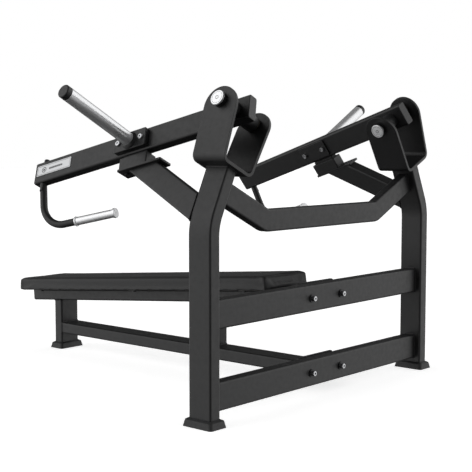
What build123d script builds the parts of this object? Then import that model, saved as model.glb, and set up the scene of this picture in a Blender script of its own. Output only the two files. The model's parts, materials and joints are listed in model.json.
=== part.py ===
from build123d import *
from math import atan, cos, degrees, radians, sin, tan
import os

# Plate-loaded lying chest press: a tall rear frame that leans in at the top, a flat bench that
# slopes to the foot end, and two press arms that swing on shafts in flared brackets.
# Millimetres, +Z up, +Y towards the foot end of the bench, +X the user's right.
# The origin is on the floor, under the middle of the whole machine's box. The frame is built
# about the YZ plane and then moved sideways a little, because one arm stands lower.

# ---- driving dimensions ----
frame_wide = 1356          # over the uprights' outer faces
rear_y = -842.2              # rear faces of the uprights
tube_wide, tube_thick = 100, 50
tube_wall, tube_corner = 3, 8
fit_gap = 0.2              # between pieces that slide together in assembly
shell_gap = 0.5            # between an arm and its bumper

foot_high, foot_margin, foot_flare, foot_floor, foot_corner = 28, 12, 5, 5, 12

lean = 25.5                # of the uprights' tops, inwards
bend_z, bend_radius = 678, 180
neck_long = 201            # from the bend point to the bracket, along the leaning tube
pivot_rise = 207           # from the bracket's underside to the pivot axis

lower_beam_z, upper_beam_z = 95, 375
beam_bolt_x = 92

brace_high, brace_thick = 80, 40
brace_z, brace_kink_x = 676.5, 341

bracket_base, bracket_flare, bracket_plate = 158, 6, 12
ear_wide, ear_above_pivot, bracket_bend = 142, 51, 28

shaft_radius, shaft_half = 15, 108
boss_radius, boss_inner, boss_outer = 25, 84, 115
cap_radius, cap_thick = 27, 8
hub_radius, hub_bore, hub_half = 30, 22, 78
bush_long, bush_flange, bush_flange_radius = 30, 3, 29
running_gap = 0.05         # radial, of a shaft or bolt in its bore
hole_gap = 0.5             # radial, of a bolt in a clearance hole
soft_edge = 3              # rounding of moulded and machined rims
trim_room = 10             # spare material that is cut off square later
thread_short = 1           # a bolt stops this far inside its nut or hole

arm_high, arm_thick = 90, 40
arm_slope = 16.4           # down towards the front, square position of both arms
right_turn, left_turn = -2.1, 1.0   # from there to where each arm stands on its stop
side_shift = 5.12          # the lower arm's horn reaches further out, and moves the box's middle
arm_rear, arm_front, arm_shift = -65, 960, 8
arm_cap = 5

horn_at, horn_tilt, horn_radius, horn_wall = 454, 3.5, 25, 4
horn_long, horn_cap_long, horn_cap_radius = 322, 22, 25
horn_foot_radius, horn_foot_high = 29, 6
mount_long, mount_high, mount_thick, backing_thick = 150, 72, 20, 8
mount_bolt_gap, mount_bolt_radius = 108, 6

handle_at, handle_long, handle_bend, handle_rise = 925, 175, 89, 3
handle_lean = 13           # of the handle's drop, from square to the arm, towards the middle
handle_inward = 9.5         # of the grip, from straight back towards the middle of the machine
handle_radius, handle_wall, handle_run = 14, 2.5, 320
grip_radius, collar_radius, collar_long, grip_long = 16, 19, 6, 162
grip_side_gap = 0.5

plate_long, plate_high, plate_thick, plate_at, plate_up = 180, 43, 1.5, 858, 5

stop_high, stop_rise, stop_start = 90, 25.2, -353
bumper_high, bumper_wide, bumper_long = 12, 32, 110
block_high, block_wide, block_rear, block_front, block_shift = 46, 52, 376, 506, 8
stop_plate_thick, stop_plate_wide, stop_plate_rear, stop_plate_front = 8, 62, 304, 508
stop_bolt_at = 484

bench_slope = degrees(atan(0.085))
pad_long, pad_wide, pad_thick, pad_corner = 1499, 272, 54, 14
pad_head, pad_top_z = 216, 444          # head end, from the uprights' rear faces, and its height
board_thick, board_margin = 12, 10
tab_long, tab_wide, tab_thick = 200, 40, 5
tab_places, tab_bolt_x = (365, 985, 1605), 85
top_rail_high, rail_end = 50, 1711
lower_rail_top = 121
leg_y, post_y = 1503, 567
flange_wide, flange_high, flange_thick = 216, 106, 8

os.makedirs("parts", exist_ok=True)


def save(piece, name):
    """Move a finished piece to the machine's own origin, label it and write it as its own node."""
    piece = piece.moved(Location((-side_shift, 0, 0)))
    piece.label = name
    export_step(piece, f"parts/{name}.step")


def save_pair(piece, name):
    """Write a right-hand piece and its mirror image on the left."""
    save(piece, f"{name}_right")
    save(mirror(piece, about=Plane.YZ), f"{name}_left")


def save_swung(piece, name):
    """Write a right-hand piece and its mirror image, each turned with its own arm about the pivot."""
    save(piece.rotate(Axis(pivot, outward), right_turn), f"{name}_right")
    save(mirror(piece.rotate(Axis(pivot, outward), left_turn), about=Plane.YZ), f"{name}_left")


def both_swung(piece):
    """A right-hand piece and its mirror image, each turned with its own arm, as one part."""
    left = mirror(piece.rotate(Axis(pivot, outward), left_turn), about=Plane.YZ)
    return Compound([*piece.rotate(Axis(pivot, outward), right_turn).solids(), *left.solids()])


def tube_section(wide, high, corner=tube_corner):
    """Rounded rectangular tube section in the current sketch."""
    RectangleRounded(wide, high, corner)
    RectangleRounded(wide - 2 * tube_wall, high - 2 * tube_wall, corner - tube_wall, mode=Mode.SUBTRACT)


# ---- places worked out from the driving dimensions ----
upright_x = frame_wide / 2 - tube_thick / 2
upright_y = rear_y + tube_wide / 2
front_of_beams = upright_y + tube_thick / 2
leaning = Vector(-sin(radians(lean)), 0, cos(radians(lean)))      # up along the right upright's top
outward = Vector(cos(radians(lean)), 0, sin(radians(lean)))       # square to it, outwards
forward = Vector(0, 1, 0)
bend_point = Vector(upright_x, upright_y, bend_z)
neck_top = bend_point + leaning * neck_long
pivot = neck_top + leaning * pivot_rise

# head: x forward, y up along the lean, z outwards, with its origin on the pivot axis.
# The arm's own directions, arm_x along it and arm_y up across it, are turned down by its slope.
head = Plane(origin=pivot, x_dir=forward, z_dir=outward)
arm_x = forward * cos(radians(arm_slope)) - leaning * sin(radians(arm_slope))
arm_y = forward * sin(radians(arm_slope)) + leaning * cos(radians(arm_slope))


def across(at, up=0.0, out=0.0):
    """Plane square to the arm's length: x outwards, y down across the arm."""
    return Plane(origin=pivot + arm_x * at + arm_y * up + outward * out, x_dir=outward, z_dir=arm_x)


def beside(out, at=0.0, up=0.0):
    """Plane square to the pivot axis, in the arm's own directions."""
    return Plane(origin=pivot + outward * out + arm_x * at + arm_y * up, x_dir=arm_x, z_dir=outward)


# bench: x along the slope towards the foot end, y to the user's left, z square to the pad
pad_dir = Vector(0, cos(radians(bench_slope)), -sin(radians(bench_slope)))
pad_up = Vector(0, sin(radians(bench_slope)), cos(radians(bench_slope)))
pad_origin = Vector(0, rear_y + pad_head, pad_top_z)


def bench(depth):
    """Plane parallel to the pad's top, that far below it, starting at the pad's head end."""
    return Plane(origin=pad_origin - pad_up * depth, x_dir=pad_dir, z_dir=pad_up)


rail_top_depth = pad_thick + tab_thick
rail_mid_depth = rail_top_depth + top_rail_high / 2
rail_under_depth = rail_top_depth + top_rail_high

# ---- rear frame ----
with BuildPart() as upright:
    with BuildLine():
        FilletPolyline((upright_x, upright_y, foot_floor), bend_point, neck_top, radius=bend_radius)
    with BuildSketch(Plane.XY.offset(foot_floor).shift_origin((upright_x, upright_y, foot_floor))):
        tube_section(tube_thick, tube_wide)
    sweep()
save_pair(upright.part, "upright")

beam_half = frame_wide / 2 - tube_thick
for beam_name, beam_z in (("lower_cross_beam", lower_beam_z), ("upper_cross_beam", upper_beam_z)):
    with BuildPart() as beam:
        with BuildSketch(Plane(origin=(0, upright_y, beam_z), x_dir=(0, 1, 0), z_dir=(1, 0, 0))):
            tube_section(tube_thick, tube_wide)
        extrude(amount=beam_half, both=True)
        with Locations(Plane(origin=(0, upright_y, beam_z), x_dir=(1, 0, 0), z_dir=(0, -1, 0))):
            with Locations((-beam_bolt_x, 0), (beam_bolt_x, 0)):
                Hole(mount_bolt_radius + hole_gap)
    save(beam.part, beam_name)

# The brace's arms rise square to the leaning uprights and end on their inner faces.
kink = Vector(brace_kink_x, upright_y, brace_z)
inner_face = (bend_point - kink).dot(outward) - tube_thick / 2
brace_tip = kink + outward * inner_face
brace_left_tip = Vector(-brace_tip.X, brace_tip.Y, brace_tip.Z)
brace_corner = 45
with BuildPart() as v_brace:
    with BuildLine() as brace_path:
        FilletPolyline(
            brace_left_tip, (-kink.X, kink.Y, kink.Z), kink, brace_tip, radius=brace_corner
        )
    with BuildSketch(Plane(origin=brace_left_tip, x_dir=(0, 1, 0), z_dir=brace_path.line % 0)):
        tube_section(brace_thick, brace_high)
    sweep()
save(v_brace.part, "v_brace")

# ---- pivot brackets ----
flare = tan(radians(bracket_flare))
ear_top = ear_above_pivot + trim_room


def half_width(up):
    """Outer half width of the bracket at a height above the pivot axis."""
    return bracket_base / 2 + (up + pivot_rise) * flare


mouth_top = ear_top + 1
inner_shift = bracket_plate / cos(radians(bracket_flare))
floor_up = -pivot_rise + bracket_plate
with BuildPart() as bracket:
    with BuildSketch(Plane(origin=pivot, x_dir=outward, z_dir=-forward)) as bracket_section:
        with BuildLine():
            Polyline(
                (-half_width(ear_top), ear_top),
                (-half_width(-pivot_rise), -pivot_rise),
                (half_width(-pivot_rise), -pivot_rise),
                (half_width(ear_top), ear_top),
                close=True,
            )
        make_face()
        fillet(bracket_section.vertices().group_by(Axis.Y)[0], bracket_bend)
        with BuildSketch(mode=Mode.PRIVATE) as bracket_mouth:
            with BuildLine():
                Polyline(
                    (-half_width(mouth_top) + inner_shift, mouth_top),
                    (-half_width(floor_up) + inner_shift, floor_up),
                    (half_width(floor_up) - inner_shift, floor_up),
                    (half_width(mouth_top) - inner_shift, mouth_top),
                    close=True,
                )
            make_face()
            fillet(bracket_mouth.vertices().group_by(Axis.Y)[0], bracket_bend - bracket_plate)
        add(bracket_mouth.sketch, mode=Mode.SUBTRACT)
    extrude(amount=ear_wide / 2, both=True)
    ear_round = ear_above_pivot - ear_wide / 2
    with BuildSketch(head):
        with Locations((0, ear_round)):
            Circle(ear_wide / 2)
        with Locations((0, ear_round)):
            Rectangle(ear_wide, pivot_rise + ear_round + trim_room, align=(Align.CENTER, Align.MAX))
    extrude(amount=half_width(ear_top) + trim_room, both=True, mode=Mode.INTERSECT)
    with Locations(head):
        Hole(boss_radius + running_gap)
save_pair(bracket.part, "pivot_bracket")

with BuildPart() as bosses:
    for out in (boss_inner, -boss_outer):
        with BuildSketch(head.offset(out)):
            Circle(boss_radius)
            Circle(shaft_radius + running_gap, mode=Mode.SUBTRACT)
        extrude(amount=boss_outer - boss_inner)
    mirror(about=Plane.YZ)
save(bosses.part, "pivot_bosses")

with BuildPart() as shaft:
    with BuildSketch(head):
        Circle(shaft_radius)
    extrude(amount=shaft_half, both=True)
    mirror(about=Plane.YZ)
save(shaft.part, "pivot_shafts")

spigot_radius, cap_chamfer = 14, 1.2
# A disc closes each end of the bosses; its spigot sits in the boss and meets the shaft's end.
with BuildPart() as caps:
    for plane in (head.offset(boss_outer), Plane(head.offset(-boss_outer).origin, forward, -outward)):
        with BuildSketch(plane):
            Circle(cap_radius)
        extrude(amount=cap_thick)
        with BuildSketch(plane):
            Circle(spigot_radius)
        extrude(amount=-(boss_outer - shaft_half))
    rims = caps.edges().filter_by(GeomType.CIRCLE).filter_by(lambda e: abs(e.radius - cap_radius) < 0.01)
    chamfer(rims, cap_chamfer)
    mirror(about=Plane.YZ)
save(caps.part, "pivot_caps")

# ---- press arms ----
arm_out = arm_shift + arm_thick / 2
arm_in = arm_shift - arm_thick / 2
bolt_places = (horn_at - mount_bolt_gap / 2, horn_at + mount_bolt_gap / 2)
handle_bolt_radius = 5
with BuildPart() as press_arm:
    with BuildSketch(across(arm_rear + arm_cap, out=arm_shift)):
        tube_section(arm_thick, arm_high)
    extrude(amount=arm_front - arm_rear - 2 * arm_cap)
    with Locations(beside(0)):
        Hole(hub_radius + running_gap)
        with Locations(*[(at, 0) for at in bolt_places]):
            Hole(mount_bolt_radius + hole_gap)
    with BuildSketch(Plane(origin=across(handle_at, out=arm_shift).origin, x_dir=arm_x, z_dir=arm_y)):
        Circle(handle_bolt_radius + hole_gap)
    extrude(amount=arm_high, both=True, mode=Mode.SUBTRACT)
save_swung(press_arm.part, "press_arm")

plug_long, plug_gap = 22, 0.3
plug_wide = arm_thick - 2 * (tube_wall + plug_gap)
plug_high = arm_high - 2 * (tube_wall + plug_gap)
with BuildPart() as arm_caps:
    for at, turn in ((arm_rear + arm_cap, -1), (arm_front - arm_cap, 1)):
        with BuildSketch(across(at, out=arm_shift)):
            RectangleRounded(arm_thick, arm_high, tube_corner)
        extrude(amount=turn * arm_cap)
        with BuildSketch(across(at, out=arm_shift)):
            RectangleRounded(plug_wide, plug_high, tube_corner - tube_wall)
        extrude(amount=-turn * plug_long)
    end_faces = arm_caps.faces().filter_by(Plane(origin=(0, 0, 0), z_dir=arm_x)).sort_by(Axis(pivot, arm_x))
    fillet(end_faces[0].edges() + end_faces[-1].edges(), soft_edge)
save_swung(arm_caps.part, "arm_end_caps")

with BuildPart() as hub:
    with BuildSketch(head):
        Circle(hub_radius)
        Circle(hub_bore, mode=Mode.SUBTRACT)
    extrude(amount=hub_half, both=True)
save_swung(hub.part, "pivot_hub")

with BuildPart() as bushes:
    for plane in (head.offset(hub_half), Plane(head.offset(-hub_half).origin, forward, -outward)):
        with BuildSketch(plane):
            Circle(bush_flange_radius)
            Circle(shaft_radius + running_gap, mode=Mode.SUBTRACT)
        extrude(amount=bush_flange)
        with BuildSketch(plane):
            Circle(hub_bore)
            Circle(shaft_radius + running_gap, mode=Mode.SUBTRACT)
        extrude(amount=-bush_long)
save_swung(bushes.part, "hub_bushes")

# ---- weight horns ----
plate_corner, plate_soft = 8, 1.5
with BuildPart() as horn_mount:
    with BuildSketch(beside(arm_out, horn_at)):
        RectangleRounded(mount_long, mount_high, plate_corner)
        with Locations(*[(at - horn_at, 0) for at in bolt_places]):
            Circle(mount_bolt_radius + hole_gap, mode=Mode.SUBTRACT)
    extrude(amount=mount_thick)
    fillet(horn_mount.faces().sort_by(Axis(pivot, outward))[-1].outer_wire().edges(), soft_edge)
save_swung(horn_mount.part, "horn_mount_plate")

with BuildPart() as backing:
    with BuildSketch(beside(arm_in - backing_thick, horn_at)):
        RectangleRounded(mount_long, mount_high, plate_corner)
        with Locations(*[(at - horn_at, 0) for at in bolt_places]):
            Circle(mount_bolt_radius + hole_gap, mode=Mode.SUBTRACT)
    extrude(amount=backing_thick)
    fillet(backing.faces().sort_by(Axis(pivot, outward))[0].outer_wire().edges(), plate_soft)
save_swung(backing.part, "horn_backing_plate")

bolt_head_radius, bolt_head_high, bolt_head_round, nut_radius, nut_high = 11, 7, 3.5, 10.5, 9
socket_radius, socket_deep = 4, 4
clamp_out, clamp_in = arm_out + mount_thick, arm_in - backing_thick
with BuildPart() as horn_bolts:
    for at in bolt_places:
        with BuildSketch(beside(clamp_out, at)):
            Circle(bolt_head_radius)
        extrude(amount=bolt_head_high)
        with BuildSketch(beside(clamp_out, at)):
            Circle(mount_bolt_radius)
        extrude(amount=-(clamp_out - clamp_in + nut_high - thread_short))
    tops = horn_bolts.faces().filter_by(Plane(origin=(0, 0, 0), z_dir=outward)).group_by(Axis(pivot, outward))
    fillet(tops[-1].edges(), bolt_head_round)
    for at in bolt_places:
        with BuildSketch(beside(clamp_out + bolt_head_high, at)):
            RegularPolygon(socket_radius, 6, major_radius=True)
        extrude(amount=-socket_deep, mode=Mode.SUBTRACT)
save_swung(horn_bolts.part, "horn_bolts")

with BuildPart() as horn_nuts:
    for at in bolt_places:
        with BuildSketch(beside(clamp_in, at)):
            RegularPolygon(nut_radius, 6)
            Circle(mount_bolt_radius + running_gap, mode=Mode.SUBTRACT)
        extrude(amount=-nut_high)
save_swung(horn_nuts.part, "horn_nuts")

horn_dir = outward * cos(radians(horn_tilt)) + arm_y * sin(radians(horn_tilt))
horn_root = pivot + arm_x * horn_at + outward * clamp_out
horn_end = horn_root + horn_dir * horn_long
horn_start = horn_root - horn_dir * (trim_room / 2)
with BuildPart() as weight_horn:
    with BuildSketch(Plane(origin=horn_start, x_dir=arm_x, z_dir=horn_dir)):
        Circle(horn_radius)
        Circle(horn_radius - horn_wall, mode=Mode.SUBTRACT)
    extrude(amount=horn_long + trim_room / 2)
    with BuildSketch(Plane(origin=horn_start, x_dir=arm_x, z_dir=horn_dir)):
        Circle(horn_foot_radius)
        Circle(horn_radius - horn_wall, mode=Mode.SUBTRACT)
    extrude(amount=horn_foot_high + trim_room / 2)
    split(bisect_by=beside(clamp_out, horn_at), keep=Keep.TOP)
save_swung(weight_horn.part, "weight_horn")

horn_plug_radius, horn_plug_long, horn_cap_round = horn_radius - horn_wall - fit_gap, 25, 5
with BuildPart() as horn_cap:
    with BuildSketch(Plane(origin=horn_end, x_dir=arm_x, z_dir=horn_dir)):
        Circle(horn_cap_radius)
    extrude(amount=horn_cap_long)
    fillet(horn_cap.faces().sort_by(Axis(pivot, outward))[-1].edges(), horn_cap_round)
    with BuildSketch(Plane(origin=horn_end, x_dir=arm_x, z_dir=horn_dir)):
        Circle(horn_plug_radius)
    extrude(amount=-horn_plug_long)
save_swung(horn_cap.part, "horn_end_cap")

# ---- handles ----
# The handle hangs from the arm's underside, leaning in, then bends back under the arm.
handle_top = pivot + arm_x * handle_at + outward * arm_shift - arm_y * (arm_high / 2)
handle_down = -arm_y * cos(radians(handle_lean)) - outward * sin(radians(handle_lean))
handle_back = -arm_x * cos(radians(handle_inward)) - outward * sin(radians(handle_inward))
grip_dir = handle_back * cos(radians(handle_rise)) + arm_y * sin(radians(handle_rise))
handle_side = grip_dir.cross(handle_down).normalized()
handle_corner = handle_top + handle_down * handle_long
tip = handle_corner + grip_dir * handle_run
plug_deep = 30             # of the threaded plug in the handle's top end
with BuildPart() as handle:
    with BuildLine():
        FilletPolyline(handle_top - handle_down * trim_room, handle_corner, tip, radius=handle_bend)
    with BuildSketch(Plane(origin=handle_top - handle_down * trim_room, x_dir=handle_side, z_dir=handle_down)):
        Circle(handle_radius)
        Circle(handle_radius - handle_wall, mode=Mode.SUBTRACT)
    sweep()
    split(bisect_by=Plane(origin=handle_top, z_dir=-arm_y), keep=Keep.TOP)
    with BuildSketch(Plane(origin=handle_top, x_dir=arm_x, z_dir=-arm_y)):
        Circle(handle_radius - handle_wall - fit_gap)
    extrude(amount=plug_deep)
    with BuildSketch(Plane(origin=handle_top, x_dir=arm_x, z_dir=-arm_y)):
        Circle(handle_bolt_radius + running_gap)
    extrude(amount=plug_deep, mode=Mode.SUBTRACT)
save_swung(handle.part, "handle_tube")

grip_far = collar_long + grip_side_gap
grip_near = grip_far + grip_long
grip_end_thick, grip_end_deep, collar_round, grip_chamfer = 3, 15, 1, 0.8
ring_start = grip_near + grip_side_gap
with BuildPart() as collars:
    with BuildSketch(Plane(origin=tip - grip_dir * (ring_start + collar_long), x_dir=handle_side, z_dir=grip_dir)):
        Circle(collar_radius)
        Circle(handle_radius + running_gap, mode=Mode.SUBTRACT)
    extrude(amount=collar_long)
    with BuildSketch(Plane(origin=tip - grip_dir * collar_long, x_dir=handle_side, z_dir=grip_dir)):
        Circle(collar_radius)
        Circle(handle_radius + running_gap, mode=Mode.SUBTRACT)
    extrude(amount=collar_long)
    with BuildSketch(Plane(origin=tip, x_dir=handle_side, z_dir=grip_dir)):
        Circle(collar_radius)
    extrude(amount=grip_end_thick)
    with BuildSketch(Plane(origin=tip, x_dir=handle_side, z_dir=grip_dir)):
        Circle(handle_radius - handle_wall - fit_gap)
    extrude(amount=-grip_end_deep)
    collar_rims = collars.edges().filter_by(GeomType.CIRCLE).filter_by(
        lambda e: abs(e.radius - collar_radius) < 0.01
    )
    fillet(collar_rims, collar_round)
save_swung(collars.part, "grip_collars")

with BuildPart() as grip:
    with BuildSketch(Plane(origin=tip - grip_dir * grip_near, x_dir=handle_side, z_dir=grip_dir)):
        Circle(grip_radius)
        Circle(handle_radius + running_gap, mode=Mode.SUBTRACT)
    extrude(amount=grip_long)
    chamfer(grip.edges().filter_by(GeomType.CIRCLE).filter_by(lambda e: e.radius > handle_radius + 1), grip_chamfer)
save_swung(grip.part, "grip_sleeve")

handle_head_radius, handle_head_high, handle_head_round = 11, 16, 4
handle_thread = 20
with BuildPart() as handle_bolt:
    bolt_plane = Plane(origin=handle_top + arm_y * arm_high, x_dir=arm_x, z_dir=arm_y)
    with BuildSketch(bolt_plane):
        Circle(handle_head_radius)
    extrude(amount=handle_head_high)
    fillet(handle_bolt.faces().sort_by(Axis(pivot, arm_y))[-1].edges(), handle_head_round)
    with BuildSketch(bolt_plane):
        Circle(handle_bolt_radius)
    extrude(amount=-(arm_high + handle_thread))
save_swung(handle_bolt.part, "handle_bolt")

name_corner = 4
with BuildPart() as name_plate:
    with BuildSketch(beside(arm_out, plate_at, plate_up)):
        RectangleRounded(plate_long, plate_high, name_corner)
    extrude(amount=plate_thick)
save_swung(name_plate.part, "name_plate")

# ---- stops ----
bumper_top = -arm_high / 2 - shell_gap
block_top = bumper_top - bumper_high
block_under = block_top - block_high
plate_under = block_under - stop_plate_thick
stop_dir = forward * cos(radians(stop_rise)) + leaning * sin(radians(stop_rise))
upright_front = tube_wide / 2
stop_back, stop_reach = 60, 640     # before both ends are cut to their neighbours
stop_origin = pivot + forward * upright_front + leaning * stop_start
for side, turn in (("right", right_turn), ("left", left_turn)):
    turned_up = arm_y.rotate(Axis((0, 0, 0), outward), turn)
    under_plate = Plane(origin=pivot + turned_up * plate_under, z_dir=-turned_up)
    with BuildPart() as stop_arm:
        with BuildSketch(Plane(origin=stop_origin - stop_dir * stop_back, x_dir=outward, z_dir=stop_dir)):
            tube_section(tube_thick, stop_high)
        extrude(amount=stop_back + stop_reach)
        split(bisect_by=Plane(origin=pivot + forward * upright_front, z_dir=forward), keep=Keep.TOP)
        split(bisect_by=under_plate, keep=Keep.TOP)
    save(stop_arm.part if side == "right" else mirror(stop_arm.part, about=Plane.YZ), f"stop_arm_{side}")

block_mid = (block_rear + block_front) / 2
plate_mid = (stop_plate_rear + stop_plate_front) / 2


def stop_plane(at, up):
    """Plane parallel to the arm's underside, on the stop's middle line."""
    return Plane(origin=pivot + arm_x * at + arm_y * up + outward * block_shift, x_dir=arm_x, z_dir=arm_y)


stop_bolt_radius, stop_bolt_deep, stop_head_radius, stop_head_high = 5, 30, 9, 6
block_corner, block_soft, plate_bevel = 5, 2, 1
with BuildPart() as stop_block:
    with BuildSketch(stop_plane(plate_mid, block_under)):
        RectangleRounded(stop_plate_front - stop_plate_rear, stop_plate_wide, block_corner)
    extrude(amount=-stop_plate_thick)
    chamfer(stop_block.faces().sort_by(Axis(pivot, arm_y))[0].edges(), plate_bevel)
    with BuildSketch(stop_plane(stop_bolt_at, block_under)):
        Circle(stop_bolt_radius + hole_gap)
    extrude(amount=-stop_plate_thick, mode=Mode.SUBTRACT)
    with BuildSketch(stop_plane(block_mid, block_under)):
        RectangleRounded(block_front - block_rear, block_wide, block_corner)
    extrude(amount=block_high)
    fillet(stop_block.faces().sort_by(Axis(pivot, arm_y))[-1].edges(), block_soft)
    with BuildSketch(stop_plane(stop_bolt_at, block_under)):
        Circle(stop_bolt_radius + running_gap)
    extrude(amount=stop_bolt_deep, mode=Mode.SUBTRACT)
save(both_swung(stop_block.part), "stop_blocks")

with BuildPart() as bumper:
    with BuildSketch(stop_plane(block_mid, block_top)):
        RectangleRounded(bumper_long, bumper_wide, block_corner)
    extrude(amount=bumper_high)
    fillet(bumper.faces().sort_by(Axis(pivot, arm_y))[-1].edges(), soft_edge)
save(both_swung(bumper.part), "stop_bumpers")

with BuildPart() as stop_bolt:
    with BuildSketch(stop_plane(stop_bolt_at, plate_under)):
        Circle(stop_head_radius)
    extrude(amount=-stop_head_high)
    fillet(stop_bolt.faces().sort_by(Axis(pivot, arm_y))[0].edges(), soft_edge)
    with BuildSketch(stop_plane(stop_bolt_at, plate_under)):
        Circle(stop_bolt_radius)
    extrude(amount=stop_plate_thick + stop_bolt_deep - thread_short)
save(both_swung(stop_bolt.part), "stop_bolts")

# ---- bench frame ----
front_of_flange = front_of_beams + flange_thick
rail_cap, rail_back = 5, 200        # the rail runs back past the pad, then is cut to the flange


def bench_x(y):
    """Distance along the pad's slope of a place given from the uprights' rear faces."""
    return (y - pad_head) / cos(radians(bench_slope))


def cap_plug(outside):
    """Size of an end cap's plug in a tube of that outside size."""
    return outside - 2 * (tube_wall + plug_gap)


top_rail_end = bench_x(rail_end) - rail_cap
with BuildPart() as top_rail:
    with BuildSketch(Plane(bench(rail_mid_depth).origin - pad_dir * rail_back, (1, 0, 0), pad_dir)):
        tube_section(tube_wide, top_rail_high)
    extrude(amount=rail_back + top_rail_end)
    split(bisect_by=Plane(origin=(0, front_of_flange, 0), z_dir=(0, 1, 0)), keep=Keep.TOP)
save(top_rail.part, "bench_top_rail")

with BuildPart() as rail_end_cap:
    cap_plane = Plane(bench(rail_mid_depth).origin + pad_dir * top_rail_end, (1, 0, 0), pad_dir)
    with BuildSketch(cap_plane):
        RectangleRounded(tube_wide, top_rail_high, tube_corner)
    extrude(amount=rail_cap)
    fillet(rail_end_cap.faces().sort_by(Axis(pad_origin, pad_dir))[-1].edges(), soft_edge)
    with BuildSketch(cap_plane):
        RectangleRounded(cap_plug(tube_wide), cap_plug(top_rail_high), tube_corner - tube_wall)
    extrude(amount=-plug_long)
save(rail_end_cap.part, "rail_end_cap")

lower_rail_high = 50
lower_rail_mid = lower_rail_top - lower_rail_high / 2
with BuildPart() as lower_rail:
    with BuildSketch(Plane(origin=(0, front_of_flange, lower_rail_mid), x_dir=(1, 0, 0), z_dir=(0, 1, 0))):
        tube_section(tube_wide, lower_rail_high)
    extrude(amount=rear_y + leg_y - front_of_flange)
save(lower_rail.part, "bench_lower_rail")

under_rail = Plane(origin=bench(rail_under_depth).origin, x_dir=pad_dir, z_dir=-pad_up)
for leg_name, leg_rear, leg_foot in (("bench_leg", leg_y, foot_floor), ("bench_post", post_y, lower_rail_top)):
    with BuildPart() as leg:
        leg_middle = rear_y + leg_rear + tube_thick / 2
        with BuildSketch(Plane(origin=(0, leg_middle, leg_foot))):
            tube_section(tube_wide, tube_thick)
        extrude(amount=pad_top_z)
        split(bisect_by=under_rail, keep=Keep.TOP)
    save(leg.part, leg_name)

with BuildPart() as flanges:
    for beam_z in (lower_beam_z, upper_beam_z):
        with BuildSketch(Plane(origin=(0, front_of_beams, beam_z), x_dir=(-1, 0, 0), z_dir=(0, 1, 0))):
            RectangleRounded(flange_wide, flange_high, plate_corner)
            with Locations((-beam_bolt_x, 0), (beam_bolt_x, 0)):
                Circle(mount_bolt_radius + hole_gap, mode=Mode.SUBTRACT)
        extrude(amount=flange_thick)
save(flanges.part, "rail_flanges")

washer_thick, washer_radius, washer_gap = 4, 15, 0.3
frame_head_radius, frame_head_high, frame_head_round = 10, 14, 2.5
frame_socket_radius, frame_socket_deep = 5, 5
bolt_places_xz = [(x, z) for z in (lower_beam_z, upper_beam_z) for x in (-beam_bolt_x, beam_bolt_x)]
rear_of_beams = upright_y - tube_thick / 2
head_face = rear_of_beams - washer_thick
with BuildPart() as frame_washers:
    with BuildSketch(Plane(origin=(0, rear_of_beams, 0), x_dir=(1, 0, 0), z_dir=(0, -1, 0))):
        with Locations(*bolt_places_xz):
            Circle(washer_radius)
        with Locations(*bolt_places_xz):
            Circle(mount_bolt_radius + washer_gap, mode=Mode.SUBTRACT)
    extrude(amount=washer_thick)
save(frame_washers.part, "frame_washers")

frame_nut_high = 10
with BuildPart() as frame_bolts:
    with BuildSketch(Plane(origin=(0, head_face, 0), x_dir=(1, 0, 0), z_dir=(0, -1, 0))):
        with Locations(*bolt_places_xz):
            Circle(frame_head_radius)
    extrude(amount=frame_head_high)
    fillet(frame_bolts.faces().sort_by(Axis.Y)[:4].edges(), frame_head_round)
    with BuildSketch(Plane(origin=(0, head_face - frame_head_high, 0), x_dir=(1, 0, 0), z_dir=(0, -1, 0))):
        with Locations(*bolt_places_xz):
            RegularPolygon(frame_socket_radius, 6)
    extrude(amount=-frame_socket_deep, mode=Mode.SUBTRACT)
    with BuildSketch(Plane(origin=(0, head_face, 0), x_dir=(1, 0, 0), z_dir=(0, -1, 0))):
        with Locations(*bolt_places_xz):
            Circle(mount_bolt_radius)
    extrude(amount=-(front_of_flange - head_face + frame_nut_high - thread_short))
save(frame_bolts.part, "frame_bolts")

with BuildPart() as frame_nuts:
    with BuildSketch(Plane(origin=(0, front_of_flange, 0), x_dir=(-1, 0, 0), z_dir=(0, 1, 0))):
        with Locations(*bolt_places_xz):
            RegularPolygon(nut_radius, 6)
        with Locations(*bolt_places_xz):
            Circle(mount_bolt_radius + running_gap, mode=Mode.SUBTRACT)
    extrude(amount=frame_nut_high)
save(frame_nuts.part, "frame_nuts")

# ---- pad ----
screw_radius, screw_head_radius, screw_head_high, tab_corner = 4, 8, 5, 4
tab_screws = [(bench_x(y), x) for y in tab_places for x in (-tab_bolt_x, tab_bolt_x)]
with BuildPart() as pad_tabs:
    with BuildSketch(bench(pad_thick)):
        with Locations(*[(bench_x(y), 0) for y in tab_places]):
            RectangleRounded(tab_wide, tab_long, tab_corner)
        with Locations(*tab_screws):
            Circle(screw_radius + hole_gap, mode=Mode.SUBTRACT)
    extrude(amount=-tab_thick)
save(pad_tabs.part, "pad_cross_plates")

screw_plane = Plane(origin=bench(rail_top_depth).origin, x_dir=pad_dir, z_dir=-pad_up)
with BuildPart() as pad_screws:
    with BuildSketch(screw_plane):
        with Locations(*tab_screws):
            Circle(screw_head_radius)
    extrude(amount=screw_head_high)
    with BuildSketch(screw_plane):
        with Locations(*tab_screws):
            Circle(screw_radius)
    extrude(amount=-(tab_thick + board_thick - thread_short))
save(pad_screws.part, "pad_screws")

pad_middle, pad_round = pad_long / 2, 10
with BuildPart() as pad_board:
    with BuildSketch(bench(pad_thick)):
        with Locations((pad_middle, 0)):
            RectangleRounded(pad_long - 2 * board_margin, pad_wide - 2 * board_margin, pad_corner)
        with Locations(*tab_screws):
            Circle(screw_radius + running_gap, mode=Mode.SUBTRACT)
    extrude(amount=board_thick)
save(pad_board.part, "pad_board")

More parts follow.
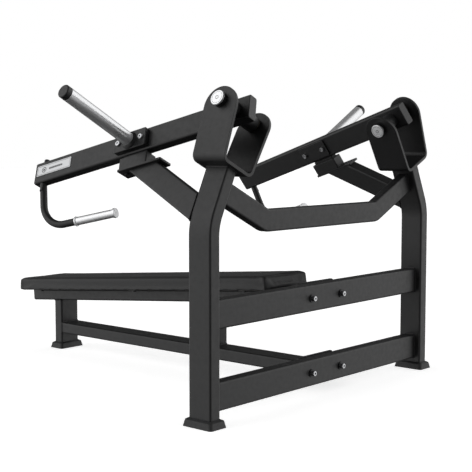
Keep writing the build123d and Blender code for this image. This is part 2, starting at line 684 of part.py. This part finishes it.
with BuildPart() as bench_pad:
    with BuildSketch(bench(pad_thick)):
        with Locations((pad_middle, 0)):
            RectangleRounded(pad_long, pad_wide, pad_corner)
    extrude(amount=pad_thick)
    fillet(bench_pad.faces().sort_by(Axis(pad_origin, pad_up))[-1].edges(), pad_round)
    pocket_margin = board_margin - fit_gap
    with BuildSketch(bench(pad_thick)):
        with Locations((pad_middle, 0)):
            RectangleRounded(pad_long - 2 * pocket_margin, pad_wide - 2 * pocket_margin, pad_corner)
    extrude(amount=board_thick, mode=Mode.SUBTRACT)
save(bench_pad.part, "bench_pad")

# ---- feet ----
foot_taper, foot_lip = 5, 3


def foot_cap(centre_x, centre_y, along_x, along_y):
    """Moulded cap round a tube's end: flared sides, a sloped top and a socket for the tube."""
    with BuildPart() as cap:
        for up, margin in ((0, foot_margin + foot_flare), (foot_high - foot_taper, foot_margin), (foot_high, foot_lip)):
            with BuildSketch(Plane(origin=(centre_x, centre_y, up))):
                RectangleRounded(along_x + 2 * margin, along_y + 2 * margin, foot_corner)
        loft(ruled=True)
        with BuildSketch(Plane(origin=(centre_x, centre_y, foot_floor))):
            RectangleRounded(along_x + 2 * fit_gap, along_y + 2 * fit_gap, tube_corner + fit_gap)
        extrude(amount=foot_high, mode=Mode.SUBTRACT)
    return cap.part


with BuildPart() as rear_caps:
    add(foot_cap(upright_x, upright_y, tube_thick, tube_wide))
    mirror(about=Plane.YZ)
save(rear_caps.part, "foot_caps_rear")
save(foot_cap(0, rear_y + leg_y + tube_thick / 2, tube_wide, tube_thick), "foot_cap_front")
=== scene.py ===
"""Looks, camera and light for the lying chest press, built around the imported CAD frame."""
import json
import math
import random

import bmesh
import bpy
from mathutils import Matrix, Vector


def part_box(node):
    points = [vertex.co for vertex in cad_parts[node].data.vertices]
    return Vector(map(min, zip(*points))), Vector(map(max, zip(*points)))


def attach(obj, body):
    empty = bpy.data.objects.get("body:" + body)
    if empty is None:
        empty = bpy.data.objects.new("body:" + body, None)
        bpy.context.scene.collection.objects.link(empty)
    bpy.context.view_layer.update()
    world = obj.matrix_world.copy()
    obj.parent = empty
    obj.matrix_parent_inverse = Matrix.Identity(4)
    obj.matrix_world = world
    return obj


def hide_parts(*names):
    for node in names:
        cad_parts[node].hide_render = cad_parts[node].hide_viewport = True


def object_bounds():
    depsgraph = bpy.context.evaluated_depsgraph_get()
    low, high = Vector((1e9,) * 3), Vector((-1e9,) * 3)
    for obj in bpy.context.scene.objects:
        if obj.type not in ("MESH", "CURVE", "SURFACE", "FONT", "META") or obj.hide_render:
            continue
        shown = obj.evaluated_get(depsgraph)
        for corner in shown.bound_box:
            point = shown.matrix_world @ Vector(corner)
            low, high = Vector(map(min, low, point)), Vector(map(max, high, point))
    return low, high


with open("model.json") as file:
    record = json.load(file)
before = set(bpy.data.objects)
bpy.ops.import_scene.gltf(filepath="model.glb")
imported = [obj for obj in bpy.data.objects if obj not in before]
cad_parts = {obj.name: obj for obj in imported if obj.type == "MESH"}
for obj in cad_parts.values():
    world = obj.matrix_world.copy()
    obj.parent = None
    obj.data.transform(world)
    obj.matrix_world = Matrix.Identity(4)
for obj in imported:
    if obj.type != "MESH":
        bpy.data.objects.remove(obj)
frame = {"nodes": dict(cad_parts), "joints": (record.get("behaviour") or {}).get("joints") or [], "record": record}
cad_low, cad_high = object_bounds()
nodes = frame["nodes"]
joints = {j["name"]: j for j in frame["joints"]}
MM = 0.001
same_place = 1e-5
random.seed(7)


# ---- camera ----
lens_mm, sensor_mm, farthest = 83.0, 36.0, 60.0
camera_place = (-3.2952, -3.2220, 0.9429)
camera_yaw, camera_dip = 0.8558, 0.084
camera_data = bpy.data.cameras.new("camera")
camera_data.lens = lens_mm
camera_data.sensor_width = sensor_mm
camera_data.clip_end = farthest
camera = bpy.data.objects.new("camera", camera_data)
bpy.context.scene.collection.objects.link(camera)
camera.location = camera_place
camera.rotation_euler = (math.pi / 2 - camera_dip, 0.0, -camera_yaw)
bpy.context.scene.camera = camera
bpy.context.scene.view_settings.view_transform = "Standard"


# ---- materials ----
# A noise's values lie mostly in this range.
noise_range = (0.3, 0.7)


class Shader:
    """A Principled material whose detail comes from procedural nodes in object space."""

    def __init__(self, name, colour, roughness, **sockets):
        self.material = bpy.data.materials.new(name)
        self.material.use_nodes = True
        self.nodes = self.material.node_tree.nodes
        self.links = self.material.node_tree.links
        self.bsdf = self.nodes["Principled BSDF"]
        self.bsdf.inputs["Base Color"].default_value = (*colour, 1)
        self.bsdf.inputs["Roughness"].default_value = roughness
        for socket, value in sockets.items():
            self.bsdf.inputs[socket.replace("_", " ")].default_value = value
        self.place = self.nodes.new("ShaderNodeTexCoord").outputs["Object"]
        self.normal = None

    def stretched(self, scale):
        """Object coordinates scaled differently along each axis."""
        mapping = self.nodes.new("ShaderNodeMapping")
        mapping.inputs["Scale"].default_value = scale
        self.links.new(self.place, mapping.inputs["Vector"])
        return mapping.outputs["Vector"]

    def noise(self, scale, detail=3.0, rough=0.5, place=None):
        node = self.nodes.new("ShaderNodeTexNoise")
        node.inputs["Scale"].default_value = scale
        node.inputs["Detail"].default_value = detail
        node.inputs["Roughness"].default_value = rough
        self.links.new(place or self.place, node.inputs["Vector"])
        return node.outputs["Fac"]

    def cells(self, scale, feature="F1", place=None):
        node = self.nodes.new("ShaderNodeTexVoronoi")
        node.feature = feature
        node.inputs["Scale"].default_value = scale
        self.links.new(place or self.place, node.inputs["Vector"])
        return node.outputs["Distance"]

    def span(self, value, low, high, start=0.0, end=1.0):
        """value moved from the range start..end to low..high."""
        node = self.nodes.new("ShaderNodeMapRange")
        node.inputs["From Min"].default_value = start
        node.inputs["From Max"].default_value = end
        node.inputs["To Min"].default_value = low
        node.inputs["To Max"].default_value = high
        self.links.new(value, node.inputs["Value"])
        return node.outputs["Result"]

    def math(self, operation, a, b):
        node = self.nodes.new("ShaderNodeMath")
        node.operation = operation
        for socket, value in zip(node.inputs, (a, b)):
            if isinstance(value, (int, float)):
                socket.default_value = value
            else:
                self.links.new(value, socket)
        return node.outputs["Value"]

    def mix(self, factor, a, b):
        """A colour between a and b."""
        node = self.nodes.new("ShaderNodeMix")
        node.data_type = "RGBA"
        node.inputs[6].default_value = (*a, 1)
        if isinstance(b, tuple):
            node.inputs[7].default_value = (*b, 1)
        else:
            self.links.new(b, node.inputs[7])
        self.links.new(factor, node.inputs["Factor"])
        return node.outputs[2]

    def colour(self, output):
        self.links.new(output, self.bsdf.inputs["Base Color"])

    def rough(self, output):
        self.links.new(output, self.bsdf.inputs["Roughness"])

    def bump(self, height, depth, strength=1.0):
        """Adds a layer of relief that is depth metres high."""
        node = self.nodes.new("ShaderNodeBump")
        node.inputs["Strength"].default_value = strength
        node.inputs["Distance"].default_value = depth
        self.links.new(height, node.inputs["Height"])
        if self.normal:
            self.links.new(self.normal, node.inputs["Normal"])
        self.normal = node.outputs["Normal"]
        self.links.new(self.normal, self.bsdf.inputs["Normal"])


def powder_coat():
    """Black powder coat: slow shade changes, a fine orange peel and a satin gloss."""
    s = Shader("frame_paint", (0.012, 0.012, 0.0125), 0.42, IOR=1.45)
    shade = s.span(s.noise(5.0, 4.0), 0.0, 1.0, *noise_range)
    s.colour(s.mix(shade, (0.0105, 0.0106, 0.0112), (0.0135, 0.0136, 0.014)))
    s.rough(s.span(s.noise(60.0, 4.0), 0.36, 0.5, *noise_range))
    s.bump(s.noise(900.0, 2.0), 0.00012, 0.5)
    s.bump(s.cells(420.0), 0.00006, 0.4)
    return s.material


def chrome():
    """Satin chrome over turned steel, with a faint handling haze."""
    s = Shader("chrome", (0.86, 0.87, 0.88), 0.28, Metallic=0.66)
    s.colour(s.mix(s.noise(40.0, 3.0), (0.82, 0.83, 0.84), (0.9, 0.9, 0.91)))
    s.rough(s.span(s.noise(14.0, 4.0), 0.26, 0.32, *noise_range))
    s.bump(s.noise(900.0, 2.0, 0.5), 0.000004, 0.3)
    return s.material


def bright_alloy():
    """Satin anodised aluminium with a fine one-way brushing."""
    s = Shader("bright_alloy", (0.87, 0.88, 0.89), 0.32, Metallic=0.85)
    brushed = s.noise(900.0, 2.0, 0.6, s.stretched((1.0, 0.04, 1.0)))
    s.colour(s.mix(brushed, (0.8, 0.81, 0.82), (0.93, 0.93, 0.94)))
    s.rough(s.span(brushed, 0.26, 0.42, *noise_range))
    s.bump(brushed, 0.00002, 0.4)
    return s.material


def plate_metal():
    """Name plate: grey anodised aluminium, brushed along its length."""
    s = Shader("plate_metal", (0.6, 0.61, 0.62), 0.42, Metallic=0.85)
    brushed = s.noise(1200.0, 2.0, 0.6, s.stretched((1.0, 0.03, 1.0)))
    s.colour(s.mix(brushed, (0.54, 0.55, 0.56), (0.66, 0.66, 0.67)))
    s.rough(s.span(brushed, 0.36, 0.5, *noise_range))
    s.bump(brushed, 0.00002, 0.4)
    return s.material


def bolt_steel():
    """Zinc-plated bolt steel, slightly uneven."""
    s = Shader("bolt_steel", (0.55, 0.56, 0.57), 0.28, Metallic=1.0)
    s.colour(s.mix(s.noise(160.0, 3.0), (0.46, 0.47, 0.49), (0.64, 0.64, 0.65)))
    s.rough(s.span(s.noise(420.0, 3.0), 0.2, 0.4, *noise_range))
    s.bump(s.noise(1400.0, 2.0), 0.00003, 0.4)
    return s.material


def shaft_steel():
    """Ground steel, with a thin film of grease."""
    s = Shader("shaft_steel", (0.55, 0.56, 0.58), 0.22, Metallic=1.0)
    s.colour(s.mix(s.noise(90.0, 4.0), (0.45, 0.45, 0.46), (0.62, 0.63, 0.65)))
    s.rough(s.span(s.noise(60.0, 4.0), 0.16, 0.34, *noise_range))
    return s.material


def bush_bronze():
    """Sintered bronze, coloured very dark, with its open pores."""
    s = Shader("bush_bronze", (0.12, 0.085, 0.05), 0.45, Metallic=1.0)
    s.colour(s.mix(s.noise(300.0, 3.0), (0.09, 0.065, 0.04), (0.15, 0.11, 0.065)))
    s.rough(s.span(s.noise(500.0, 3.0), 0.3, 0.52, *noise_range))
    s.bump(s.cells(1500.0), 0.00005, 0.5)
    return s.material


def moulded(name, shade, roughness, grain, depth):
    """Moulded plastic or rubber with a spark-eroded grain."""
    s = Shader(name, shade, roughness, IOR=1.48)
    darker = tuple(0.8 * c for c in shade)
    lighter = tuple(1.25 * c for c in shade)
    s.colour(s.mix(s.noise(30.0, 4.0), darker, lighter))
    s.rough(s.span(s.noise(grain / 4, 3.0), roughness - 0.07, roughness + 0.1, *noise_range))
    s.bump(s.cells(grain), depth, 0.6)
    s.bump(s.noise(grain * 1.7, 2.0), depth / 2, 0.5)
    return s.material


def pad_vinyl():
    """Black leathercloth: pebbled grain with creases between the pebbles, and a little bloom."""
    s = Shader(
        "pad_vinyl", (0.012, 0.012, 0.0125), 0.5, Sheen_Weight=0.03, Sheen_Roughness=0.5, IOR=1.42
    )
    pebbles = s.cells(620.0, "SMOOTH_F1")
    creases = s.cells(310.0, "DISTANCE_TO_EDGE")
    shade = s.span(s.noise(9.0, 5.0), 0.0, 1.0, *noise_range)
    s.colour(s.mix(shade, (0.01, 0.01, 0.0105), (0.015, 0.015, 0.0155)))
    s.rough(s.span(pebbles, 0.4, 0.56, 0.0, 0.8))
    s.bump(s.span(creases, 0.0, 1.0, 0.0, 0.12), 0.00018, 0.5)
    s.bump(pebbles, 0.0002, 0.5)
    s.bump(s.noise(55.0, 3.0), 0.0005, 0.3)
    return s.material


def plywood():
    """Black-stained board, with the grain running along the bench."""
    s = Shader("pad_board", (0.02, 0.018, 0.016), 0.62)
    grain = s.noise(220.0, 5.0, 0.6, s.stretched((1.0, 0.06, 1.0)))
    s.colour(s.mix(grain, (0.012, 0.011, 0.01), (0.035, 0.031, 0.027)))
    s.rough(s.span(grain, 0.55, 0.75, *noise_range))
    s.bump(grain, 0.0002, 0.5)
    return s.material


def black_oxide():
    """Blackened bolt steel with a dull oily gloss."""
    s = Shader("black_oxide", (0.03, 0.03, 0.032), 0.4, Metallic=0.7)
    s.colour(s.mix(s.noise(120.0, 3.0), (0.02, 0.02, 0.022), (0.045, 0.045, 0.047)))
    s.rough(s.span(s.noise(300.0, 3.0), 0.32, 0.52, *noise_range))
    s.bump(s.noise(1100.0, 2.0), 0.00003, 0.4)
    return s.material


def dark_ink():
    """Charcoal enamel in the plate's engraving; the same finish is laid on the pivot discs as painted groove
    shade.
    """
    s = Shader("dark_ink", (0.03, 0.03, 0.032), 0.45)
    s.colour(s.mix(s.noise(200.0, 3.0), (0.02, 0.02, 0.022), (0.04, 0.04, 0.042)))
    s.rough(s.span(s.noise(400.0, 3.0), 0.38, 0.55, *noise_range))
    return s.material


def weld_metal():
    """Painted weld bead, a little glossier where the coat pooled."""
    s = Shader("weld_paint", (0.012, 0.012, 0.0125), 0.36, IOR=1.45)
    s.colour(s.mix(s.noise(40.0, 3.0), (0.009, 0.009, 0.0095), (0.014, 0.014, 0.0145)))
    s.rough(s.span(s.noise(200.0, 3.0), 0.3, 0.44, *noise_range))
    s.bump(s.noise(700.0, 2.0), 0.0001, 0.5)
    return s.material


finishes = {
    "frame_paint": powder_coat(),
    "chrome": chrome(),
    "bright_alloy": bright_alloy(),
    "bolt_steel": bolt_steel(),
    "shaft_steel": shaft_steel(),
    "bush_bronze": bush_bronze(),
    "black_plastic": moulded("black_plastic", (0.016, 0.016, 0.017), 0.42, 900.0, 0.00006),
    "foot_rubber": moulded("foot_rubber", (0.021, 0.021, 0.022), 0.58, 700.0, 0.00012),
    "bumper_rubber": moulded("bumper_rubber", (0.012, 0.012, 0.012), 0.66, 520.0, 0.00014),
    "black_oxide": black_oxide(),
    "plate_metal": plate_metal(),
    "dark_ink": dark_ink(),
    "pad_board": plywood(),
    "pad_vinyl": pad_vinyl(),
    "weld_paint": weld_metal(),
}

for row in frame["record"]["subparts"]:
    data = nodes[row["node"]].data
    data.materials.clear()
    finish = "plate_metal" if row["node"].startswith("name_plate") else row["material_slot"]
    data.materials.append(finishes[finish])


# ---- stage: pale floor and soft light ----
floor_data = bpy.data.meshes.new("floor")
reach, floor_gap, floor_glow = 30.0, 0.0005, 0.7
floor_corners = [(-reach, -reach, 0), (reach, -reach, 0), (reach, reach, 0), (-reach, reach, 0)]
floor_data.from_pydata(floor_corners, [], [(0, 1, 2, 3)])
floor = bpy.data.objects.new("floor", floor_data)
bpy.context.scene.collection.objects.link(floor)
floor.location.z = -floor_gap
floor_shader = Shader("floor", (0.9, 0.9, 0.9), 0.9, Emission_Strength=floor_glow)
floor_shader.bsdf.inputs["Emission Color"].default_value = (1, 1, 1, 1)
floor_data.materials.append(floor_shader.material)
# The floor shows and takes shadows, but doesn't light the machine from below.
floor.visible_diffuse = False
floor.visible_glossy = False

# The backdrop is white to the eye. Its light on the machine comes from two broad soft
# walls, one on each side, and little from above, below, the front or the back.
world = bpy.data.worlds.new("studio")
bpy.context.scene.world = world
world.use_nodes = True
world_nodes, world_links = world.node_tree.nodes, world.node_tree.links
backdrop = world_nodes["Background"]
backdrop.inputs["Color"].default_value = (1, 1, 1, 1)
wall_direction = (0.755, -0.656, 0.0)
direction = world_nodes.new("ShaderNodeTexCoord")
facing = world_nodes.new("ShaderNodeVectorMath")
facing.operation = "DOT_PRODUCT"
facing.inputs[1].default_value = wall_direction
world_links.new(direction.outputs["Generated"], facing.inputs[0])
either = world_nodes.new("ShaderNodeMath")
either.operation = "ABSOLUTE"
world_links.new(facing.outputs["Value"], either.inputs[0])
upward = world_nodes.new("ShaderNodeSeparateXYZ")
world_links.new(direction.outputs["Generated"], upward.inputs[0])


def soft_edge(value, edge, levels):
    """Brightness that goes smoothly from the first level to the second across an edge."""
    node = world_nodes.new("ShaderNodeMapRange")
    node.interpolation_type = "SMOOTHSTEP"
    node.inputs["From Min"].default_value, node.inputs["From Max"].default_value = edge
    node.inputs["To Min"].default_value, node.inputs["To Max"].default_value = levels
    world_links.new(value, node.inputs["Value"])
    return node.outputs["Result"]


wall = soft_edge(either.outputs["Value"], edge=(0.35, 0.8), levels=(0.1, 1.33))
# The walls fade towards the ground.
fade = soft_edge(upward.outputs["Z"], edge=(-0.6, 0.05), levels=(0.35, 1.0))
faded = world_nodes.new("ShaderNodeMath")
faded.operation = "MULTIPLY"
world_links.new(wall, faded.inputs[0])
world_links.new(fade, faded.inputs[1])
level = world_nodes.new("ShaderNodeMix")
level.inputs[3].default_value = 1.0
light_path = world_nodes.new("ShaderNodeLightPath")
world_links.new(light_path.outputs["Is Camera Ray"], level.inputs["Factor"])
world_links.new(faded.outputs["Value"], level.inputs[2])
world_links.new(level.outputs[0], backdrop.inputs["Strength"])


def softbox(name, place, aim, size, watts):
    """A large square area light aimed at a point, unseen itself."""
    data = bpy.data.lights.new(name, "AREA")
    data.size = size
    data.energy = watts
    light = bpy.data.objects.new(name, data)
    bpy.context.scene.collection.objects.link(light)
    light.location = place
    light.rotation_euler = (Vector(aim) - Vector(place)).to_track_quat("-Z", "Y").to_euler()
    light.visible_camera = False


middle = (cad_low + cad_high) / 2
softbox("high side", place=(-3.6, 0.6, 2.8), aim=middle, size=1.6, watts=10)


# ---- pieces made here ----
def new_piece(name, bm, finish, body, smooth=True):
    """Turns a bmesh in the row frame into a piece that rides on a body."""
    data = bpy.data.meshes.new(name)
    bm.normal_update()
    bm.to_mesh(data)
    bm.free()
    for face in data.polygons:
        face.use_smooth = smooth
    data.materials.append(finishes[finish])
    piece = bpy.data.objects.new(name, data)
    bpy.context.scene.collection.objects.link(piece)
    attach(piece, body)
    return piece


# Bench pad: the foam and its cover swell between the board's edges, and stay nearly flat on top.
pad_low, pad_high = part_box("bench_pad")
pad_thick, stapled = 54 * MM, 4 * MM
pad = bpy.data.objects.new("bench_cushion", nodes["bench_pad"].data.copy())
bpy.context.scene.collection.objects.link(pad)
pad.data.materials.clear()
pad.data.materials.append(finishes["pad_vinyl"])

# The bench's own directions: along its slope, and square to the pad's top.
rail_fall = 0.085
slope = math.atan(rail_fall)
along = Vector((0, math.cos(slope), -math.sin(slope)))
above = Vector((0, math.sin(slope), math.cos(slope)))
pad_edge = Vector((0, pad_low.y, pad_high.z))


def bake_modifiers(piece):
    """Applies every modifier of a piece to its mesh."""
    deps = bpy.context.evaluated_depsgraph_get()
    baked = bpy.data.meshes.new_from_object(piece.evaluated_get(deps))
    piece.modifiers.clear()
    piece.data = baked


def held(co):
    """True for the underside of the cushion, which is stapled round the board."""
    return (co - pad_edge).dot(above) < -(pad_thick - stapled)


def swell(cushion, voxel, start_in, cap, pressure, cloth_frames=20):
    """Blows a closed cushion up a little with a cloth run and applies the result."""
    bm = bmesh.new()
    bm.from_mesh(cushion.data)
    bmesh.ops.remove_doubles(bm, verts=bm.verts, dist=same_place)
    bm.to_mesh(cushion.data)
    bm.free()
    remesh = cushion.modifiers.new("remesh", "REMESH")
    remesh.mode = "VOXEL"
    remesh.voxel_size = voxel
    bake_modifiers(cushion)
    bm = bmesh.new()
    bm.from_mesh(cushion.data)
    bm.normal_update()
    for v in bm.verts:
        v.co -= v.normal * start_in
    bm.to_mesh(cushion.data)
    bm.free()
    start = [v.co.copy() for v in cushion.data.vertices]
    cloth = cushion.modifiers.new("cloth", "CLOTH")
    settings = cloth.settings
    settings.use_pressure = True
    settings.uniform_pressure_force = pressure
    settings.quality = 5
    settings.mass = 0.3
    settings.tension_stiffness = 40
    settings.compression_stiffness = 40
    settings.shear_stiffness = 20
    settings.bending_stiffness = 4
    settings.effector_weights.gravity = 0.0
    group = cushion.vertex_groups.new(name="board")
    fixed = [v.index for v in cushion.data.vertices if held(v.co)]
    group.add(fixed, 1.0, "REPLACE")
    settings.vertex_group_mass = "board"
    scene = bpy.context.scene
    for frame_number in range(1, cloth_frames + 1):
        scene.frame_set(frame_number)
    bake_modifiers(cushion)
    for v, old in zip(cushion.data.vertices, start):
        move = v.co - old
        if move.length > cap:
            v.co = old + move.normalized() * cap
    scene.frame_set(1)


swell(pad, voxel=6 * MM, start_in=2.2 * MM, cap=5 * MM, pressure=3.0)
for face in pad.data.polygons:
    face.use_smooth = True
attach(pad, "frame")
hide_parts("bench_pad")

# ---- the machine's own directions, on its right side ----
swing = joints["arm_right_swing"]
pivot, outward = Vector(swing["pos_m"]), Vector(swing["axis"]).normalized()
forward = Vector((0, 1, 0))
leaning = outward.cross(forward)
if leaning.z < 0:
    leaning = -leaning
upright_y = pivot.y
mid_x = (pivot.x + joints["arm_left_swing"]["pos_m"][0]) / 2
upright_x, bend_z, kink_x, kink_z = mid_x + 0.653, 0.678, mid_x + 0.341, 0.6765
flipped = Matrix.Translation((2 * mid_x, 0, 0)) @ Matrix.Diagonal((-1, 1, 1, 1))


# ---- weld beads ----
def rounded(centre, u, v, half_u, half_v, corner, steps=8):
    """The points of a rounded rectangle, with its corners in equal steps."""
    points = []
    for su, sv, start in ((1, 1, 0), (-1, 1, 90), (-1, -1, 180), (1, -1, 270)):
        for step in range(steps + 1):
            angle = math.radians(start + step * 90 / steps)
            points.append(
                centre
                + u * (su * (half_u - corner) + corner * math.cos(angle))
                + v * (sv * (half_v - corner) + corner * math.sin(angle))
            )
    return points


def skin(bm, rings):
    """Joins rings of vertices one to the next, and the last to the first."""
    count = len(rings[0])
    for a, b in zip(rings, rings[1:] + rings[:1]):
        for k in range(count):
            bm.faces.new((a[k], a[(k + 1) % count], b[(k + 1) % count], b[k]))


def loop(outline, spacing=0.0013):
    """The outline with points no further apart than about the spacing."""
    points = rounded(*outline)
    dense = []
    for a, b in zip(points, points[1:] + points[:1]):
        steps = max(1, round((b - a).length / spacing))
        dense.extend(a.lerp(b, i / steps) for i in range(steps))
    return dense


def bead(bm, points, normal, size=0.0028, scale_pitch=0.0052, sides=8):
    """A rippled weld bead along a closed loop; each ripple is a small overlapping scale."""
    low, rise, uneven = 0.82, 0.26, 0.03
    rings = []
    count = len(points)
    travelled = 0.0
    for i, point in enumerate(points):
        ahead = (points[(i + 1) % count] - points[i - 1]).normalized()
        side = ahead.cross(normal).normalized()
        travelled += (point - points[i - 1]).length if i else 0.0
        scale = (travelled / scale_pitch) % 1.0
        radius = size * (low + rise * math.sqrt(scale) + random.uniform(-uneven, uneven))
        ring = []
        for k in range(sides):
            angle = 2 * math.pi * k / sides
            spoke = side * math.cos(angle) + normal * math.sin(angle)
            ring.append(bm.verts.new(point + spoke * radius))
        rings.append(ring)
    skin(bm, rings)


def weld(name, outlines, mirrored=True):
    """Welds round outlines of (centre, u, v, half_u, half_v, corner), and their mirror image."""
    bm = bmesh.new()
    for outline in outlines:
        bead(bm, loop(outline), outline[1].cross(outline[2]).normalized())
    if mirrored:
        copied = bmesh.ops.duplicate(bm, geom=bm.verts[:] + bm.edges[:] + bm.faces[:])["geom"]
        moved = [g for g in copied if isinstance(g, bmesh.types.BMVert)]
        bmesh.ops.transform(bm, matrix=flipped, verts=moved)
        turned = [g for g in copied if isinstance(g, bmesh.types.BMFace)]
        bmesh.ops.reverse_faces(bm, faces=turned)
    bmesh.ops.recalc_face_normals(bm, faces=bm.faces[:])
    return new_piece(name, bm, "weld_paint", "frame")


x_dir, z_dir = Vector((1, 0, 0)), Vector((0, 0, 1))
# Half the frame tube's width and thickness, and its corner radius.
wide, thin, corner = 0.05, 0.025, 0.008
brace_thin, brace_wide, stop_wide = 0.02, 0.04, 0.0497
# How far below the pivot, down the leaning upright, the bracket and the stop arm are welded on.
neck_drop, stop_drop = 0.207, 0.353
neck_top = pivot - leaning * neck_drop
kink = Vector((kink_x, upright_y, kink_z))
bend_point = Vector((upright_x, upright_y, bend_z))
brace_tip = kink + outward * ((bend_point - kink).dot(outward) - thin)
stop_foot = pivot + forward * wide - leaning * stop_drop
weld("welds_bracket", [(neck_top, forward, outward, wide, thin, corner)])
weld("welds_brace", [(brace_tip, forward, leaning, brace_thin, brace_wide, corner)])
weld("welds_stop", [(stop_foot, leaning, outward, stop_wide, thin, corner)])
beam_ends = []
for beam in ("lower_cross_beam", "upper_cross_beam"):
    beam_low, beam_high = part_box(beam)
    mid = (beam_low + beam_high) / 2
    beam_end = Vector((beam_high.x, mid.y, mid.z))
    beam_ends.append((beam_end, forward, z_dir, thin, wide, corner))
weld("welds_beams", beam_ends)

rail_low, rail_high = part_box("bench_lower_rail")
rail_mid = (rail_low + rail_high) / 2
bench_joints = [
    (Vector((mid_x, rail_high.y, rail_mid.z)), x_dir, z_dir, wide, thin, corner),
    (Vector((mid_x, rail_low.y, rail_mid.z)), x_dir, z_dir, wide, thin, corner),
]
for leg in ("bench_leg", "bench_post"):
    leg_low, leg_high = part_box(leg)
    top = Vector((mid_x, (leg_low.y + leg_high.y) / 2, leg_high.z - thin * math.tan(slope)))
    bench_joints.append((top, x_dir, along, wide, thin, corner))
post_low, post_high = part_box("bench_post")
post_foot = Vector((mid_x, (post_low.y + post_high.y) / 2, post_low.z))
bench_joints.append((post_foot, x_dir, forward, wide, thin, corner))
weld("welds_bench", bench_joints, mirrored=False)


# ---- name plates: a plain border, a ring and a bar, with no lettering ----
# Each arm's slope below level at rest, in degrees.
rest_slope = {"right": 18.5, "left": 15.4}
# The plate's middle, and its face's distance from the arm's middle.
plate_ahead, plate_up, plate_face = 0.858, 0.005, 0.0295
ring_ahead, bar_ahead, ink_high = 0.052, -0.01, 0.0003
# How far out from the pivot the discs' faces lie, and the height of the dark rings painted on them as groove
# shade.
disc_out, groove_shade_high = 0.123, 0.0002
least_corner = 0.0006


def arm_frame(word):
    """(pivot, along the arm, up across it, outwards) on the right or left arm."""
    side = 1 if word == "right" else -1
    place = Vector(joints["arm_" + word + "_swing"]["pos_m"])
    turn = math.radians(rest_slope[word])
    lean_up = Vector((leaning.x * side, 0, leaning.z))
    ahead = forward * math.cos(turn) - lean_up * math.sin(turn)
    up = forward * math.sin(turn) + lean_up * math.cos(turn)
    return place, ahead, up, Vector((outward.x * side, 0, outward.z))


def flat_ring(bm, centre, u, v, w, outer, inner, corner, high):
    """A raised closed band between two rounded rectangles of half sizes outer and inner."""
    rows = []
    for half, rise in ((outer, 0.0), (outer, high), (inner, high), (inner, 0.0)):
        cut = max(corner - (outer[0] - half[0]), least_corner)
        rows.append([bm.verts.new(point + w * rise) for point in rounded(centre, u, v, *half, cut)])
    skin(bm, rows)


def round_band(bm, centre, u, v, w, outer, inner, high):
    """A raised ring between two radii."""
    flat_ring(bm, centre, u, v, w, (outer, outer), (inner, inner), outer, high)


for word in ("right", "left"):
    place, ahead, up, out = arm_frame(word)
    face = place + ahead * plate_ahead + up * plate_up + out * plate_face
    bm = bmesh.new()
    border = (0.0865, 0.018), (0.0855, 0.017), 0.003
    flat_ring(bm, face, ahead, up, out, *border, ink_high)
    ring_at = face + ahead * ring_ahead
    round_band(bm, ring_at, ahead, up, out, 0.0115, 0.0088, ink_high)
    round_band(bm, ring_at, ahead, up, out, 0.0045, 0.0006, ink_high)
    bar = (0.036, 0.0035), (0.033, 0.0006), 0.0035
    flat_ring(bm, face + ahead * bar_ahead, ahead, up, out, *bar, ink_high)
    bmesh.ops.recalc_face_normals(bm, faces=bm.faces[:])
    marks = "plate_marks_" + word
    new_piece(marks, bm, "dark_ink", "arm_" + word, smooth=False)

    # Painted shade on the two outer pivot discs: thin dark rings where shaded concentric grooves would be; no
    # grooves are cut.
    bm = bmesh.new()
    for w in (out, -out):
        disc = place + w * disc_out
        v = w.cross(forward)
        round_band(bm, disc, forward, v, w, 0.0215, 0.0207, groove_shade_high)
        round_band(bm, disc, forward, v, w, 0.0065, 0.0048, groove_shade_high)
    bmesh.ops.recalc_face_normals(bm, faces=bm.faces[:])
    groove_shade_name = "disc_groove_shade_" + word
    new_piece(groove_shade_name, bm, "dark_ink", "frame", smooth=False)

# ---- painted weld ring at the root of each weight horn ----
horn_ahead, horn_out = 0.454, 0.048
horn_tilt = math.radians(3.5)
around, ripples, ripple_high = 96, 34, 0.00035
# Radius and height of the ring's outline, from the horn's wall down to the plate.
ring_outline = (
    (0.0253, 0.0), (0.0253, 0.0098), (0.0262, 0.0094), (0.0275, 0.0076),
    (0.0296, 0.0062), (0.031, 0.003), (0.0336, 0.0008), (0.0344, -0.0022),
)
ripple_from, ripple_below = 0.0255, 0.009

for word in ("right", "left"):
    place, ahead, up, out = arm_frame(word)
    horn = out * math.cos(horn_tilt) + up * math.sin(horn_tilt)
    root = place + ahead * horn_ahead + out * horn_out
    across = horn.cross(ahead).normalized()
    bm = bmesh.new()
    rows = []
    for radius, rise in ring_outline:
        rippled = rise < ripple_below and radius > ripple_from
        ring = []
        for k in range(around):
            angle = 2 * math.pi * k / around
            ripple = ripple_high * math.sin(angle * ripples) if rippled else 0.0
            spoke = ahead * math.cos(angle) + across * math.sin(angle)
            ring.append(bm.verts.new(root + spoke * (radius + ripple) + horn * rise))
        rows.append(ring)
    skin(bm, rows)
    bmesh.ops.recalc_face_normals(bm, faces=bm.faces[:])
    new_piece("horn_weld_" + word, bm, "weld_paint", "arm_" + word)

# ---- softened edges on the folded and flat plates, by width in millimetres ----
flat_angle, edge_angle, flat_faces_lead = math.radians(0.5), math.radians(40), 100
for node, width in (
    ("pivot_bracket_right", 1.6),
    ("pivot_bracket_left", 1.6),
    ("rail_flanges", 1.0),
    ("pad_cross_plates", 0.8),
    ("stop_blocks", 0.8),
    ("frame_nuts", 0.5),
    ("horn_nuts_right", 0.5),
    ("horn_nuts_left", 0.5),
):
    joined = nodes[node].modifiers.new("joined", "WELD")
    joined.merge_threshold = same_place
    flat = nodes[node].modifiers.new("flat", "DECIMATE")
    flat.decimate_type = "DISSOLVE"
    flat.angle_limit = flat_angle
    edge = nodes[node].modifiers.new("edge", "BEVEL")
    edge.width = width * MM
    edge.segments = 2
    edge.limit_method = "ANGLE"
    edge.angle_limit = edge_angle
    weighted = nodes[node].modifiers.new("weighted", "WEIGHTED_NORMAL")
    weighted.weight = flat_faces_lead
